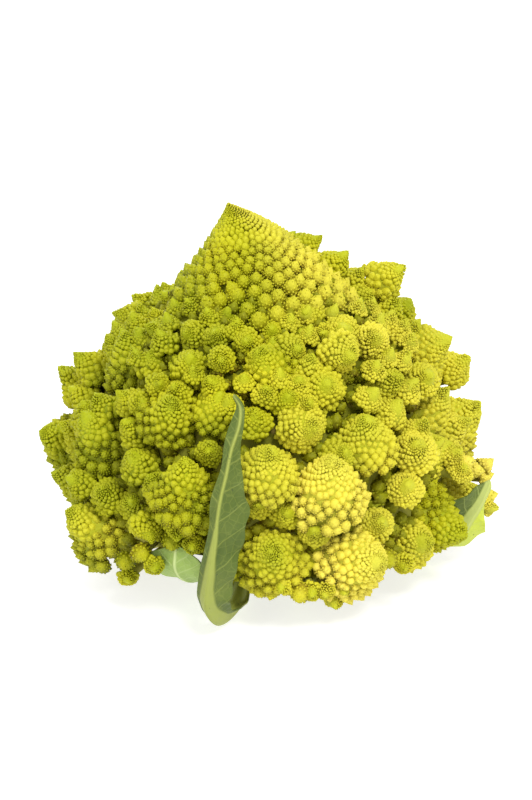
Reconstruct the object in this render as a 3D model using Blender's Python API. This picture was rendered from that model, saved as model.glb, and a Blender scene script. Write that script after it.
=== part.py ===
"""A romanesco head standing on its cut stalk, with the leaves that were left on it.

Metres, +Z up. The origin is the middle of the stalk's cut end, which is what the head stands on.
The front of the head faces -Y. The curd is one grown body: a dome of pointed florets set at the
golden angle, each one a smaller copy of the whole. The stalk and the leaves are bodies of their own.
"""

import math

import bmesh
import bpy
from mathutils import Vector

MM = 0.001
GOLDEN_ANGLE = math.radians(137.508)

# The dome that the tips of the florets lie on
HEAD_HEIGHT = 0.147
HEAD_RADIUS = 0.092
DOME_POWER = 2.7
APEX_LEAN = -0.015
LEAN_POWER = 10
NECK_SHARE = 0.22
NECK_FROM = 0.66
NECK_TO = 0.80
RIM_TUCK = 0.16
RIM_TUCK_HEIGHT = 0.030

# Florets grow wider down the dome: a share of their distance from the apex
CROWN_SHARE = 0.155
RIM_SHARE = 0.25
SHARE_RISES_FROM = 0.045
SHARE_RISES_TO = 0.105
FLORET_LENGTH = 0.72
FLORET_SPACING = 0.97
TILT_TO_APEX = math.radians(14)

# The florets placed by eye stand more side-on than their middles show, up to this share of their length
SIDE_ON = 1.2
SIDE_ON_LIMIT = 0.80

# The step that the dome is walked down in
RULE_STEP = 0.00005

# The crown is the part of the dome above the large florets
CROWN_SLANT = 0.058
CROWN_FIRST_SLANT = 0.009
CROWN_COARSENESS = 2.3
LOWEST_TIP = 0.018

# A floret of the spiral stands only where its middle is this share of the two widths from others.
# A finer spiral then fills the gaps. Low down in front on the left only those placed by eye stand
FILL_GAP = 0.31
FILLER_SLANT = 0.074
FILLER_COARSENESS = 0.60
FILLER_GAP = 0.345
BARE_BELOW = 0.040
BARE_FROM = -0.065
BARE_TO = -0.010

# How the head is seen from the front: the florets below are placed by eye in this view
VIEW_DISTANCE = 0.90
VIEW_ELEVATION = math.radians(20)
VIEW_MIDDLE = Vector((0.0, 0.0, 0.065))
OUTLINE_DEPTH = 0.008
RAY_STEPS = 300

# Large florets of the front, in millimetres right of and above the middle of that view:
# tip across, tip up, middle across, middle up, width, and how far behind the dome it stands
FRONT_FLORETS = (
    (-92, -13, -80, -20, 29, 0), (-83, 15, -72, 6, 20, 16), (-76, 20, -66, 11, 19, 0),
    (-58, 30, -52, 13, 26, 0), (-62, 35, -51, 31, 14, 6), (-54, 41, -47, 35, 12, 20),
    (-49, 32, -40, 27, 19, 0), (-43, 44, -36, 39, 14, 0), (-75, -6, -61, -17, 32, 0),
    (-81, -45, -67, -54, 31, 0), (-54, -73, -55, -69, 8, 8), (-44, -69, -45, -65, 8, 4),
    (-32, -22, -35, -38, 30, 0), (-35, 0, -34, -8, 26, 0), (-30, 19, -30, 12, 20, 0),
    (-50, -3, -50, -2, 11, 6), (-42, 6, -43, 5, 10, 4), (-18, 5, -20, -2, 20, 4),
    (-23, -21, -23, -22, 11, 6), (-48, -30, -44, -34, 13, 6), (-48, -46, -46, -48, 13, 6),
    (2, -17, 2, -28, 27, 0), (28, -20, 29, -37, 35, 0), (21, -11, 18, -11, 21, 0),
    (42, -8, 39, -16, 26, 0), (2, -60, 2, -64, 31, 0), (43, -63, 34, -66, 32, 0),
    (28, -85, 28, -80, 8, 4), (12, -81, 13, -77, 8, 4), (80, -54, 66, -50, 33, 0),
    (86, -1, 72, -12, 35, 0), (58, -18, 57, -22, 18, 2), (75, 28, 65, 21, 24, 0),
    (82, 17, 76, 10, 18, 16), (54, 53, 43, 45, 21, 4), (54, 42, 45, 35, 18, 0),
    (58, 40, 53, 34, 14, 16), (45, 44, 36, 40, 15, 0), (32, 59, 26, 51, 15, 0),
    (23, 66, 16, 60, 13, 0), (12, 69, 6, 64, 10, 0), (56, 10, 46, 6, 25, 0),
    (36, 16, 30, 19, 18, 0), (26, 6, 25, 3, 20, 0), (15, 22, 12, 22, 14, 0),
    (0, 18, 4, 10, 25, 0), (2, 30, 2, 29, 12, 0), (-8, 23, -8, 22, 12, 0),
    (-22, 26, -21, 25, 13, 0), (-32, 28, -30, 27, 11, 0), (-17, 16, -17, 16, 11, 0),
    (15, 36, 16, 34, 15, 0), (34, 29, 33, 28, 14, 0), (45, 25, 44, 24, 15, 0),
    (66, 11, 63, 9, 15, 2), (56, -34, 55, -36, 16, 4), (8, -45, 7, -46, 14, 6),
    (18, -51, 18, -52, 12, 6), (47, -49, 46, -50, 13, 6), (18, -2, 17, -3, 11, 3),
    (91, -23, 86, -26, 8, 0), (93, -37, 88, -38, 8, -6), (92, -30, 87, -31, 8, -2),
    (93, -44, 88, -43, 8, -4),
    (55, -70, 55, -66, 8, 6), (-66, -35, -64, -37, 16, 8), (-80, -32, -75, -35, 14, 4),
    (-56, -40, -55, -42, 16, 12), (-74, 1, -70, -4, 16, 10), (-14, -42, -14, -44, 20, 10),
    (-17, -63, -17, -65, 19, 8), (9, 0, 9, -4, 17, 3), (-5, -3, -5, -8, 15, 4),
    (48, 47, 40, 40, 15, 4), (40, 52, 33, 46, 14, 3), (62, 33, 55, 27, 14, 4),
    (-34, -56, -35, -49, 15, 6), (-25, -54, -26, -48, 14, 6), (-44, -57, -45, -51, 14, 8),
    (79, -21, 77, -22, 12, 3),
)

# Each floret is a turned body with bumps: (radius, distance behind the tip, height of its bumps) in widths
FLORET_PROFILE = ((0.17, 0.17, 0.020), (0.35, 0.45, 0.045), (0.47, 0.82, 0.055))
SMALL_FLORET_PROFILE = ((0.27, 0.24, 0.050), (0.47, 0.70, 0.050))
TINY_FLORET_PROFILE = ((0.47, 0.66, 0.040),)
SIDES = 6
SMALL_SIDES = 5
SMALL_WIDTH = 0.0175
TINY_WIDTH = 0.0125

# A floret narrows behind to a root, this share of the way from its back to the middle of the core,
# and drawn this share of the way to one height
ROOT_REACH = 0.55
ROOT_HEIGHT = 0.044
ROOT_LIFT = 0.45

# Crown florets are small pointed beads, and the apex is a plain cone
BEAD_SIDES = 5
BEAD_REACH = 1.8
APEX_SIDES = 8
APEX_LENGTH = 0.012
APEX_RADIUS = 0.0065
APEX_HEIGHT = 0.1495

# The fleshy core that the florets branch from: how far inside the dome, as a share of the way from the apex
CORE_SIDES = 12
CORE_LEVELS = 8
CORE_BOTTOM = 0.027
CORE_BOTTOM_RADIUS = 0.040
CORE_INSET = 0.19
CORE_TOP_INSET = 0.0008

# The stalk: (radius, height) from its cut end up, with shallow flutes
STALK_PROFILE = ((0.0235, 0.0), (0.0250, 0.0012), (0.0235, 0.011), (0.0245, 0.020), (0.0270, 0.0267))
STALK_SIDES = 24
FLUTES = 6
FLUTE_DEPTH = 0.035

# Bodies that touch in life stand this far apart here
CLEARANCE = 0.00035

# A leaf crosses in rings of points from its left edge to its right: shares of its half width
LEAF_CROSSINGS = (-1.0, -0.72, -0.36, 0.0, 0.36, 0.72, 1.0)
RIB_WIDTH = 0.0028
LEAF_FACES_DOWN = 0.6

# Leaves, in millimetres: along the midrib from the stalk to the tip, each row holds the point,
# the half widths to the left and right, the thickness at the rib, and how far the edges fold in
FRONT_LEAF = (
    (-6, -25.5, 9, 4.5, 4.5, 5.6, 0.0), (-9, -44, 6.5, 4.0, 4.0, 5.4, 0.0), (-12, -66, 5.4, 4.0, 4.4, 5.2, 0.1),
    (-18, -80, 6.5, 4.0, 5.6, 5.0, 0.6), (-22, -88, 16, 4.2, 8.0, 4.4, 0.75),
    (-20.8, -90, 30, 4.0, 9.0, 3.6, 0.7),
    (-18.5, -89.5, 45, 2.9, 10.2, 2.8, 0.65), (-16.8, -87, 57, 3.6, 10.2, 2.2, 0.6),
    (-14.4, -83.5, 67, 2.4, 6.0, 1.9, 0.55), (-12.6, -80, 75, 2.8, 3.6, 1.6, 0.5),
    (-9.8, -76, 83, 3.2, 1.8, 1.4, 0.4),
    (-9.4, -72.5, 88.5, 2.0, 1.2, 1.1, 0.3), (-11.6, -70, 92, 0.8, 0.7, 0.9, 0.1),
)
RIGHT_LEAF = (
    (25.5, -5, 9, 4.0, 4.0, 5.0, 0.0), (45, -10, 6.0, 4.0, 4.0, 4.8, 0.0), (62, -17, 7.5, 4.4, 4.4, 4.4, 0.1),
    (72, -23, 13, 6.0, 11.0, 4.0, 0.1), (77, -27, 20, 9.5, 13.0, 3.6, 0.1),
    (80.5, -28, 26.5, 11.5, 7.5, 3.2, 0.1),
    (84, -28.5, 33, 9.0, 3.0, 2.4, 0.1), (86.5, -28, 38.5, 4.0, 2.2, 1.6, 0.1),
    (87.5, -27.5, 41, 0.8, 0.8, 0.9, 0.1),
)
LEFT_LEAF = (
    (-14, -21.5, 12, 3.6, 3.6, 4.2, 0.0), (-21, -40, 10.5, 3.6, 3.6, 4.0, 0.0),
    (-28, -57, 13, 7.0, 7.0, 3.4, 0.0),
    (-32, -66, 18, 11.0, 11.0, 2.4, 0.0), (-34, -71, 24, 12.0, 12.0, 1.8, 0.0),
    (-34, -72, 29, 9.0, 9.0, 1.2, 0.1),
    (-33.5, -71, 33, 0.8, 0.8, 0.9, 0.1),
)
GAP_LEAF = (
    (6, -25, 12, 3.2, 3.2, 4.2, 0.0), (11, -46, 8.0, 3.2, 3.2, 4.0, 0.0), (14, -62, 9.5, 3.6, 3.6, 3.4, 0.1),
    (15, -71, 15, 6.0, 6.0, 2.6, 0.3), (15, -72, 24, 7.0, 7.0, 1.8, 0.4), (14, -70, 33, 4.0, 4.0, 1.2, 0.3),
    (14, -69, 38, 0.8, 0.8, 0.9, 0.1),
)

# The blade of the right leaf turns from facing outwards to facing the front, over this share of its length
RIGHT_LEAF_FACES = Vector((0.30, -0.95, 0.0))
TURNS_FROM = 0.1
TURNS_TO = 0.45
EDGE_THICKNESS = 0.0009
SHARP_FROM = math.radians(40)
WAVE_HEIGHT = 0.0012
WAVE_LENGTH = 0.014
WAVE_FULL_WIDTH = 0.008
RINGS_PER_ROW = 2


def smooth_step(low, high, value):
    """0 at low, 1 at high, and a smooth rise between."""
    t = min(max((value - low) / (high - low), 0.0), 1.0)
    return t * t * (3 - 2 * t)


def dome_radius(z):
    """Radius of the dome of floret tips at height z."""
    t = min(max(z / HEAD_HEIGHT, 0.0), 1.0)
    tuck = max(0.0, 1 - z / RIM_TUCK_HEIGHT)
    neck = NECK_SHARE * smooth_step(NECK_FROM, NECK_TO, t)
    return HEAD_RADIUS * (1 - t ** DOME_POWER) * (1 - RIM_TUCK * tuck * tuck) * (1 - neck)


def dome_centre(z):
    """The middle of the dome at height z, which leans to the left towards the apex."""
    t = min(max(z / HEAD_HEIGHT, 0.0), 1.0)
    return Vector((APEX_LEAN * t ** LEAN_POWER, 0.0, z))


def floret_width(slant):
    """Width of a floret whose tip lies this far down the dome from the apex."""
    rise = smooth_step(SHARE_RISES_FROM, SHARE_RISES_TO, slant)
    return slant * (CROWN_SHARE + (RIM_SHARE - CROWN_SHARE) * rise)


def spiral_sites(first_slant, last_slant, coarseness, lowest):
    """Florets at the golden angle down the dome, smallest first: (tip, axis, width)."""
    sites = []
    z, slant, count = HEAD_HEIGHT, 0.0, 0.0
    while z > lowest and slant < last_slant:
        radius, below = dome_radius(z), dome_radius(z - RULE_STEP)
        step = math.hypot(RULE_STEP, below - radius)
        slant += step
        z -= RULE_STEP
        if slant < first_slant:
            continue
        width = floret_width(slant) * coarseness
        count += 2 * math.pi * below * step / (FLORET_SPACING * width * width)
        if count < len(sites) + 1:
            continue
        turn = GOLDEN_ANGLE * len(sites)
        outward = Vector((math.cos(turn), math.sin(turn), 0.0))
        rise = math.atan2(below - radius, RULE_STEP) + TILT_TO_APEX
        axis = outward * math.cos(rise) + Vector((0.0, 0.0, math.sin(rise)))
        sites.append((dome_centre(z) + outward * below, axis, width))
    return sites


def view_axes():
    """Right, up and forward of the front view."""
    forward = Vector((0.0, math.cos(VIEW_ELEVATION), -math.sin(VIEW_ELEVATION)))
    right = Vector((1.0, 0.0, 0.0))
    return right, right.cross(forward), forward


def seen_on_dome(across, up, behind):
    """The point of the dome seen at (across, up) in the front view, or the nearest one at its outline."""
    right, upward, forward = view_axes()
    eye = VIEW_MIDDLE - forward * VIEW_DISTANCE
    ray = (VIEW_MIDDLE + right * across + upward * up - eye).normalized()
    best, best_gap = None, 1e9
    for k in range(RAY_STEPS):
        point = eye + ray * (VIEW_DISTANCE - HEAD_HEIGHT + k * MM)
        if point.y > OUTLINE_DEPTH:
            break
        if not 0 < point.z < HEAD_HEIGHT:
            continue
        gap = (point - dome_centre(point.z)).length / max(dome_radius(point.z), MM) - 1
        if gap < best_gap:
            best, best_gap = point, gap
        if gap <= 0:
            break
    return best + ray * behind


def front_sites():
    """The large florets of the front: (tip, axis, width)."""
    right, upward, forward = view_axes()
    sites = []
    for tip_x, tip_up, mid_x, mid_up, width, behind in FRONT_FLORETS:
        tip = seen_on_dome(tip_x * MM, tip_up * MM, behind * MM)
        width *= MM
        length = FLORET_LENGTH * width
        aside = right * (tip_x - mid_x) * MM + upward * (tip_up - mid_up) * MM
        aside *= max(min(SIDE_ON, SIDE_ON_LIMIT * length / max(aside.length, MM)), 1.0)
        towards = math.sqrt(max(length ** 2 - aside.length_squared, 0.0))
        axis = (aside - forward * towards).normalized()
        sites.append((tip, axis, width))
    return sites


def floret_sites():
    """The large florets: those placed by eye, then the spiral's own wherever none of them stands."""
    sites = front_sites()
    spirals = ((CROWN_SLANT, 1.0, FILL_GAP), (FILLER_SLANT, FILLER_COARSENESS, FILLER_GAP))
    for first, coarseness, gap in spirals:
        for tip, axis, width in spiral_sites(first, 1.0, coarseness, LOWEST_TIP):
            if tip.y < 0 and tip.z < BARE_BELOW and BARE_FROM < tip.x < BARE_TO:
                continue
            middle = tip - axis * width * FLORET_LENGTH
            clear = all(
                (middle - (other - along * wide * FLORET_LENGTH)).length > gap * (width + wide)
                for other, along, wide in sites
            )
            if clear:
                sites.append((tip, axis, width))
    return sites


def new_object(name, points, faces):
    """A mesh object with its normals pointing outwards."""
    mesh = bpy.data.meshes.new(name)
    mesh.from_pydata([tuple(p) for p in points], [], faces)
    cleaner = bmesh.new()
    cleaner.from_mesh(mesh)
    bmesh.ops.recalc_face_normals(cleaner, faces=cleaner.faces)
    cleaner.to_mesh(mesh)
    cleaner.free()
    made = bpy.data.objects.new(name, mesh)
    bpy.context.scene.collection.objects.link(made)
    return made


def ring_faces(rings, sides, closed_tip):
    """Faces of a lofted body: rings of `sides` points each, a closing point at the end, and one at the tip."""
    faces = []
    for i in range(rings - 1):
        for j in range(sides):
            k = (j + 1) % sides
            a, b = i * sides + j, i * sides + k
            c, d = b + sides, a + sides
            faces += [(a, b, c), (a, c, d)] if (i + j) % 2 else [(a, b, d), (b, c, d)]
    last = (rings - 1) * sides
    faces += [(last + j, last + (j + 1) % sides, rings * sides) for j in range(sides)]
    if closed_tip:
        faces += [(rings * sides + 1, (j + 1) % sides, j) for j in range(sides)]
    return faces


def turned_floret(name, site, profile, sides):
    """A closed pointed body: bumpy rings behind the tip, narrowing to a root in the core."""
    tip, axis, width = site
    turn = axis.to_track_quat("Z", "Y").to_matrix()
    points = []
    for i, (radius, behind, bump) in enumerate(profile):
        for j in range(sides):
            angle = 2 * math.pi * (j + 0.5 * (i % 2)) / sides
            side = 1 if j % 2 else -1
            across = Vector((math.cos(angle), math.sin(angle), 0.0)) * (radius + side * bump)
            lift = Vector((0.0, 0.0, max(side, 0) * 0.5 * bump - behind))
            points.append(tip + turn @ (across + lift) * width)
    back = tip - axis * width
    root = back.lerp(dome_centre(back.z + (ROOT_HEIGHT - back.z) * ROOT_LIFT), ROOT_REACH)
    points += [root, tip]
    return new_object(name, points, ring_faces(len(profile), sides, True))


def floret_object(name, site):
    """A large floret, in fewer faces where it is small."""
    if site[2] < TINY_WIDTH:
        return turned_floret(name, site, TINY_FLORET_PROFILE, SMALL_SIDES)
    if site[2] < SMALL_WIDTH:
        return turned_floret(name, site, SMALL_FLORET_PROFILE, SMALL_SIDES)
    return turned_floret(name, site, FLORET_PROFILE, SIDES)


def bead_object(name, site):
    """A small pointed bead of the crown, its root sunk in the core."""
    tip, axis, width = site
    turn = axis.to_track_quat("Z", "Y").to_matrix()
    points = []
    for j in range(BEAD_SIDES):
        angle = 2 * math.pi * j / BEAD_SIDES
        points.append(tip + turn @ Vector((0.5 * math.cos(angle), 0.5 * math.sin(angle), -0.72)) * width)
    points += [tip - axis * width * BEAD_REACH, tip]
    return new_object(name, points, ring_faces(1, BEAD_SIDES, True))


def apex_object(name):
    """The point at the top of the crown."""
    tip = Vector((APEX_LEAN, 0.0, APEX_HEIGHT))
    base = dome_centre(APEX_HEIGHT - APEX_LENGTH)
    points = []
    for j in range(APEX_SIDES):
        angle = 2 * math.pi * j / APEX_SIDES
        points.append(base + Vector((math.cos(angle), math.sin(angle), 0.0)) * APEX_RADIUS)
    points += [base - Vector((0.0, 0.0, APEX_LENGTH)), tip]
    return new_object(name, points, ring_faces(1, APEX_SIDES, True))


def core_object():
    """The fleshy core, turned about the leaning middle of the dome."""
    rings = []
    z, slant = HEAD_HEIGHT, 0.0
    while z > CORE_BOTTOM + RULE_STEP:
        slant += math.hypot(RULE_STEP, dome_radius(z - RULE_STEP) - dome_radius(z))
        z -= RULE_STEP
        share = (HEAD_HEIGHT - z) / (HEAD_HEIGHT - CORE_BOTTOM)
        if share * CORE_LEVELS < len(rings) + 0.5:
            continue
        inset = CORE_INSET * slant + CORE_TOP_INSET
        rings.append((dome_radius(z) - inset, z))
    rings.append((CORE_BOTTOM_RADIUS, CORE_BOTTOM))
    points = []
    for radius, z in rings:
        for j in range(CORE_SIDES):
            angle = 2 * math.pi * j / CORE_SIDES
            points.append(dome_centre(z) + Vector((math.cos(angle), math.sin(angle), 0.0)) * radius)
    points += [Vector((0.0, 0.0, CORE_BOTTOM)), dome_centre(APEX_HEIGHT - 0.5 * APEX_LENGTH)]
    return new_object("curd", points, ring_faces(len(rings), CORE_SIDES, True))


def combine(body, others, operation):
    """Joins the others to the body, or cuts them from it, and removes them."""
    group = bpy.data.collections.new("combined")
    bpy.context.scene.collection.children.link(group)
    for other in others:
        group.objects.link(other)
    modifier = body.modifiers.new("combined", "BOOLEAN")
    modifier.operation = operation
    modifier.operand_type = "COLLECTION"
    modifier.collection = group
    modifier.solver = "MANIFOLD"
    graph = bpy.context.evaluated_depsgraph_get()
    result = bpy.data.meshes.new_from_object(body.evaluated_get(graph))
    body.modifiers.clear()
    body.data = result
    for other in others:
        bpy.data.objects.remove(other)
    bpy.data.collections.remove(group)


def drop_scraps(body):
    """Keeps only the largest connected piece of a mesh."""
    mesh = bmesh.new()
    mesh.from_mesh(body.data)
    left = set(mesh.verts)
    largest = set()
    while left:
        found, queue = set(), [left.pop()]
        while queue:
            vertex = queue.pop()
            found.add(vertex)
            for edge in vertex.link_edges:
                other = edge.other_vert(vertex)
                if other in left:
                    left.remove(other)
                    queue.append(other)
        largest = max(largest, found, key=len)
    bmesh.ops.delete(mesh, geom=[v for v in mesh.verts if v not in largest], context="VERTS")
    mesh.to_mesh(body.data)
    mesh.free()


def stalk_object(name, grown):
    """The fluted stalk, made larger all round by `grown`."""
    points = []
    for radius, z in STALK_PROFILE:
        for j in range(STALK_SIDES):
            angle = 2 * math.pi * j / STALK_SIDES
            reach = radius * (1 + FLUTE_DEPTH * math.cos(FLUTES * angle)) + grown
            points.append(Vector((reach * math.cos(angle), reach * math.sin(angle), z)))
    top = STALK_PROFILE[-1][1] + grown
    for j in range(STALK_SIDES):
        points[-1 - j].z = top
    points += [Vector((0.0, 0.0, top)), Vector((0.0, 0.0, 0.0))]
    return new_object(name, points, ring_faces(len(STALK_PROFILE), STALK_SIDES, True))


def smooth_rows(rows):
    """Rows between the given ones too, on a smooth curve through them."""
    finer = []
    for k in range(len(rows) - 1):
        before, after = rows[max(k - 1, 0)], rows[min(k + 2, len(rows) - 1)]
        for step in range(RINGS_PER_ROW):
            t = step / RINGS_PER_ROW
            row = []
            for p0, p1, p2, p3 in zip(before, rows[k], rows[k + 1], after):
                bend = (2 * p0 - 5 * p1 + 4 * p2 - p3) * t ** 2 + (3 * p1 - p0 - 3 * p2 + p3) * t ** 3
                row.append(0.5 * (2 * p1 + (p2 - p0) * t + bend))
            finer.append(row)
    return finer + [list(rows[-1])]


def leaf_object(name, rows, faces, grown):
    """A leaf with its leaf-stalk, one closed sheet with a thick rib, made thicker by `grown`.

    Its back faces outwards all the way, or turns to the side given as `faces`."""
    rows = smooth_rows(rows)
    spine = [Vector(row[:3]) * MM for row in rows]
    points = []
    length = 0.0
    for i, (here, row) in enumerate(zip(spine, rows)):
        left, right, rib, fold = row[3] * MM, row[4] * MM, row[5] * MM, row[6]
        along = (spine[min(i + 1, len(spine) - 1)] - spine[max(i - 1, 0)]).normalized()
        length += (here - spine[max(i - 1, 0)]).length
        radial = Vector((here.x, here.y, 0.0)).normalized()
        turned = smooth_step(TURNS_FROM, TURNS_TO, i / len(rows)) if faces else 0.0
        outward = radial.lerp(faces or radial, turned) - Vector((0.0, 0.0, LEAF_FACES_DOWN))
        side = along.cross(outward).normalized()
        outward = side.cross(along)
        outer, inner = [], []
        for u in LEAF_CROSSINGS:
            half = right if u > 0 else left
            height = WAVE_HEIGHT * u * u * min(half / WAVE_FULL_WIDTH, 1.0) ** 2
            wave = height * math.sin(2 * math.pi * length / WAVE_LENGTH + 2 * u)
            middle = here + side * u * half - outward * (fold * abs(u) * half - wave)
            thick = EDGE_THICKNESS + (rib - EDGE_THICKNESS) * max(0.0, 1 - (u * half / RIB_WIDTH) ** 2)
            outer.append(middle + outward * (0.5 * thick + grown) + side * u * grown)
            inner.append(middle - outward * (0.5 * thick + grown) + side * u * grown)
        points += outer + inner[::-1]
    sides = 2 * len(LEAF_CROSSINGS)
    start = spine[0] - grown * (spine[1] - spine[0]).normalized()
    points += [spine[-1] + along * (EDGE_THICKNESS + grown), start]
    return new_object(name, points, ring_faces(len(spine), sides, True))


def plain_material(name, colour, roughness):
    """A plain shading in one colour."""
    material = bpy.data.materials.new(name)
    material.use_nodes = True
    shader = material.node_tree.nodes["Principled BSDF"]
    shader.inputs["Base Color"].default_value = (*colour, 1.0)
    shader.inputs["Roughness"].default_value = roughness
    return material


def finish(made, material):
    """Gives a node its material, and shades it smooth except across its sharper edges."""
    made.data.materials.clear()
    made.data.materials.append(material)
    made.data.shade_smooth()
    made.data.set_sharp_from_angle(angle=SHARP_FROM)


def main():
    for old in list(bpy.data.objects):
        bpy.data.objects.remove(old)
    curd_green = plain_material("curd_green", (0.48, 0.55, 0.05), 0.55)
    leaf_green = plain_material("leaf_green", (0.10, 0.20, 0.05), 0.45)
    pale_green = plain_material("pale_green", (0.42, 0.55, 0.22), 0.45)
    leaves = {
        "leaf_front": (FRONT_LEAF, None, leaf_green), "leaf_right": (RIGHT_LEAF, RIGHT_LEAF_FACES, leaf_green),
        "leaf_left": (LEFT_LEAF, None, pale_green), "leaf_gap": (GAP_LEAF, None, leaf_green),
    }
    curd = core_object()
    crown = spiral_sites(CROWN_FIRST_SLANT, CROWN_SLANT, CROWN_COARSENESS, 0.0)
    grown = [bead_object(f"bead_{n}", site) for n, site in enumerate(crown)]
    grown += [floret_object(f"floret_{n}", site) for n, site in enumerate(floret_sites())]
    grown.append(apex_object("apex"))
    combine(curd, grown, "UNION")
    room = [leaf_object(f"room_{name}", rows, faces, CLEARANCE) for name, (rows, faces, _) in leaves.items()]
    room.append(stalk_object("room_stalk", CLEARANCE))
    for other in room:
        combine(curd, [other], "DIFFERENCE")
    drop_scraps(curd)
    finish(curd, curd_green)
    finish(stalk_object("stalk", 0.0), pale_green)
    for name, (rows, faces, material) in leaves.items():
        finish(leaf_object(name, rows, faces, 0.0), material)


main()
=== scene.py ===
import math

import bpy
import numpy as np
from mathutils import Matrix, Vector


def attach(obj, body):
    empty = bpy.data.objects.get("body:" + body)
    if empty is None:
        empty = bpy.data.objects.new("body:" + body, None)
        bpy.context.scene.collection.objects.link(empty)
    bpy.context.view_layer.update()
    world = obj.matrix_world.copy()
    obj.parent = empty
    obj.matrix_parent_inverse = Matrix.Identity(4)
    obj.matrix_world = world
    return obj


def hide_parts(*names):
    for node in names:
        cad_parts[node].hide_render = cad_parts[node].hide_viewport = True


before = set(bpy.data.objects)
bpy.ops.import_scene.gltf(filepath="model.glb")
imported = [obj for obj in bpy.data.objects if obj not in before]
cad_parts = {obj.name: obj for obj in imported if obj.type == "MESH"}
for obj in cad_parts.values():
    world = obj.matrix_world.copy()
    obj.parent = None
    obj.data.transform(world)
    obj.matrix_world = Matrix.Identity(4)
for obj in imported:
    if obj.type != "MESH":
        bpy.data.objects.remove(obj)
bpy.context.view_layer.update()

# The core is the solid heart of the head: firm pale-green flesh that every floret branches from. It grows
# as one piece with them, and shows only in the shade of the gaps and on the underside.

HEAD_HEIGHT = 0.147
HEAD_RADIUS = 0.092
APEX_LEAN = -0.015


def smooth_step(low, high, value):
    """0 at low, 1 at high, and a smooth rise between."""
    t = min(max((value - low) / (high - low), 0.0), 1.0)
    return t * t * (3 - 2 * t)


def dome_radius(z):
    """Radius of the dome of floret tips at height z."""
    t = min(max(z / HEAD_HEIGHT, 0.0), 1.0)
    tuck = max(0.0, 1 - z / 0.030)
    neck = 0.22 * smooth_step(0.66, 0.80, t)
    return HEAD_RADIUS * (1 - t ** 2.7) * (1 - 0.16 * tuck * tuck) * (1 - neck)


def dome_centre(z):
    """The middle of the dome at height z, which leans to the left towards the apex."""
    t = min(max(z / HEAD_HEIGHT, 0.0), 1.0)
    return Vector((APEX_LEAN * t ** 10, 0.0, z))


def level_way(angle):
    """The level direction at this bearing."""
    return Vector((math.cos(angle), math.sin(angle), 0.0))


def core_inset(slant):
    """How far the fleshy core lies inside the dome of tips, this way down it from the apex."""
    return min(0.0003 + slant * (0.125 + 0.05 * smooth_step(0.05, 0.08, slant)), 0.018)


def mesh_object(name, points, faces):
    """A smooth-shaded object from points and faces."""
    mesh = bpy.data.meshes.new(name)
    mesh.from_pydata([tuple(p) for p in points], [], faces)
    mesh.validate()
    mesh.shade_smooth()
    made = bpy.data.objects.new(name, mesh)
    bpy.context.scene.collection.objects.link(made)
    return made


def ring_body(rings, sides, ends):
    """Faces of a body of rings of this many sides, closed by one point at its start and one at its end."""
    faces = []
    for i in range(rings - 1):
        for j in range(sides):
            k = (j + 1) % sides
            faces.append((i * sides + j, i * sides + k, (i + 1) * sides + k, (i + 1) * sides + j))
    last = (rings - 1) * sides
    for j in range(sides):
        k = (j + 1) % sides
        faces.append((ends[0], k, j))
        faces.append((last + j, last + k, ends[1]))
    return faces


CORE_SIDES = 48
CORE_LEVELS = 30
CORE_BOTTOM = 0.027
CORE_TOP = HEAD_HEIGHT - 0.0012
UNDERSIDE_RINGS = ((0.052, 0.0245), (0.036, 0.026))
DOME_STEP = 0.00005
core_points = []
z, slant, level = HEAD_HEIGHT, 0.0, 0
while z > CORE_BOTTOM + DOME_STEP:
    widening = dome_radius(z - DOME_STEP) - dome_radius(z)
    slant += math.hypot(DOME_STEP, widening)
    z -= DOME_STEP
    if (HEAD_HEIGHT - z) / (HEAD_HEIGHT - CORE_BOTTOM) * CORE_LEVELS < level + 0.5:
        continue
    level += 1
    inset = core_inset(slant)
    rise = math.atan2(widening, DOME_STEP)
    level_in = dome_radius(z) - inset * math.cos(rise)
    for j in range(CORE_SIDES):
        outward = level_way(2 * math.pi * j / CORE_SIDES)
        core_points.append(dome_centre(z) + outward * level_in - Vector((0.0, 0.0, inset * math.sin(rise))))
for radius, z in UNDERSIDE_RINGS:
    level += 1
    for j in range(CORE_SIDES):
        angle = 2 * math.pi * j / CORE_SIDES
        core_points.append(Vector((radius * math.cos(angle), radius * math.sin(angle), z)))
core_points += [dome_centre(CORE_TOP), Vector((0.0, 0.0, CORE_BOTTOM))]
ends = (len(core_points) - 2, len(core_points) - 1)
core_faces = [face[::-1] for face in ring_body(level, CORE_SIDES, ends)]
core_piece = mesh_object("curd_core", core_points, core_faces)


class Wire:
    """One socket of a tree of nodes; a sum on it adds the nodes that work it out."""

    def __init__(self, tree, socket):
        self.tree = tree
        self.socket = socket

    def maths(self, operation, *others):
        return self.tree.node("ShaderNodeMath", (self, *others), operation=operation)

    def positive(self):
        return self.maths("MAXIMUM", 0.0)

    def within(self, low, high):
        return self.maths("MAXIMUM", low).maths("MINIMUM", high)

    def __add__(self, other):
        return self.maths("ADD", other)

    def __sub__(self, other):
        return self.maths("SUBTRACT", other)

    def __mul__(self, other):
        return self.maths("MULTIPLY", other)

    def __truediv__(self, other):
        return self.maths("DIVIDE", other)

    def __rsub__(self, other):
        return self.tree.node("ShaderNodeMath", (other, self), operation="SUBTRACT")

    def __rtruediv__(self, other):
        return self.tree.node("ShaderNodeMath", (other, self), operation="DIVIDE")

    __radd__ = __add__
    __rmul__ = __mul__

    def beside(self, name):
        """Another output of the same node."""
        return Wire(self.tree, self.socket.node.outputs[name])


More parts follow.
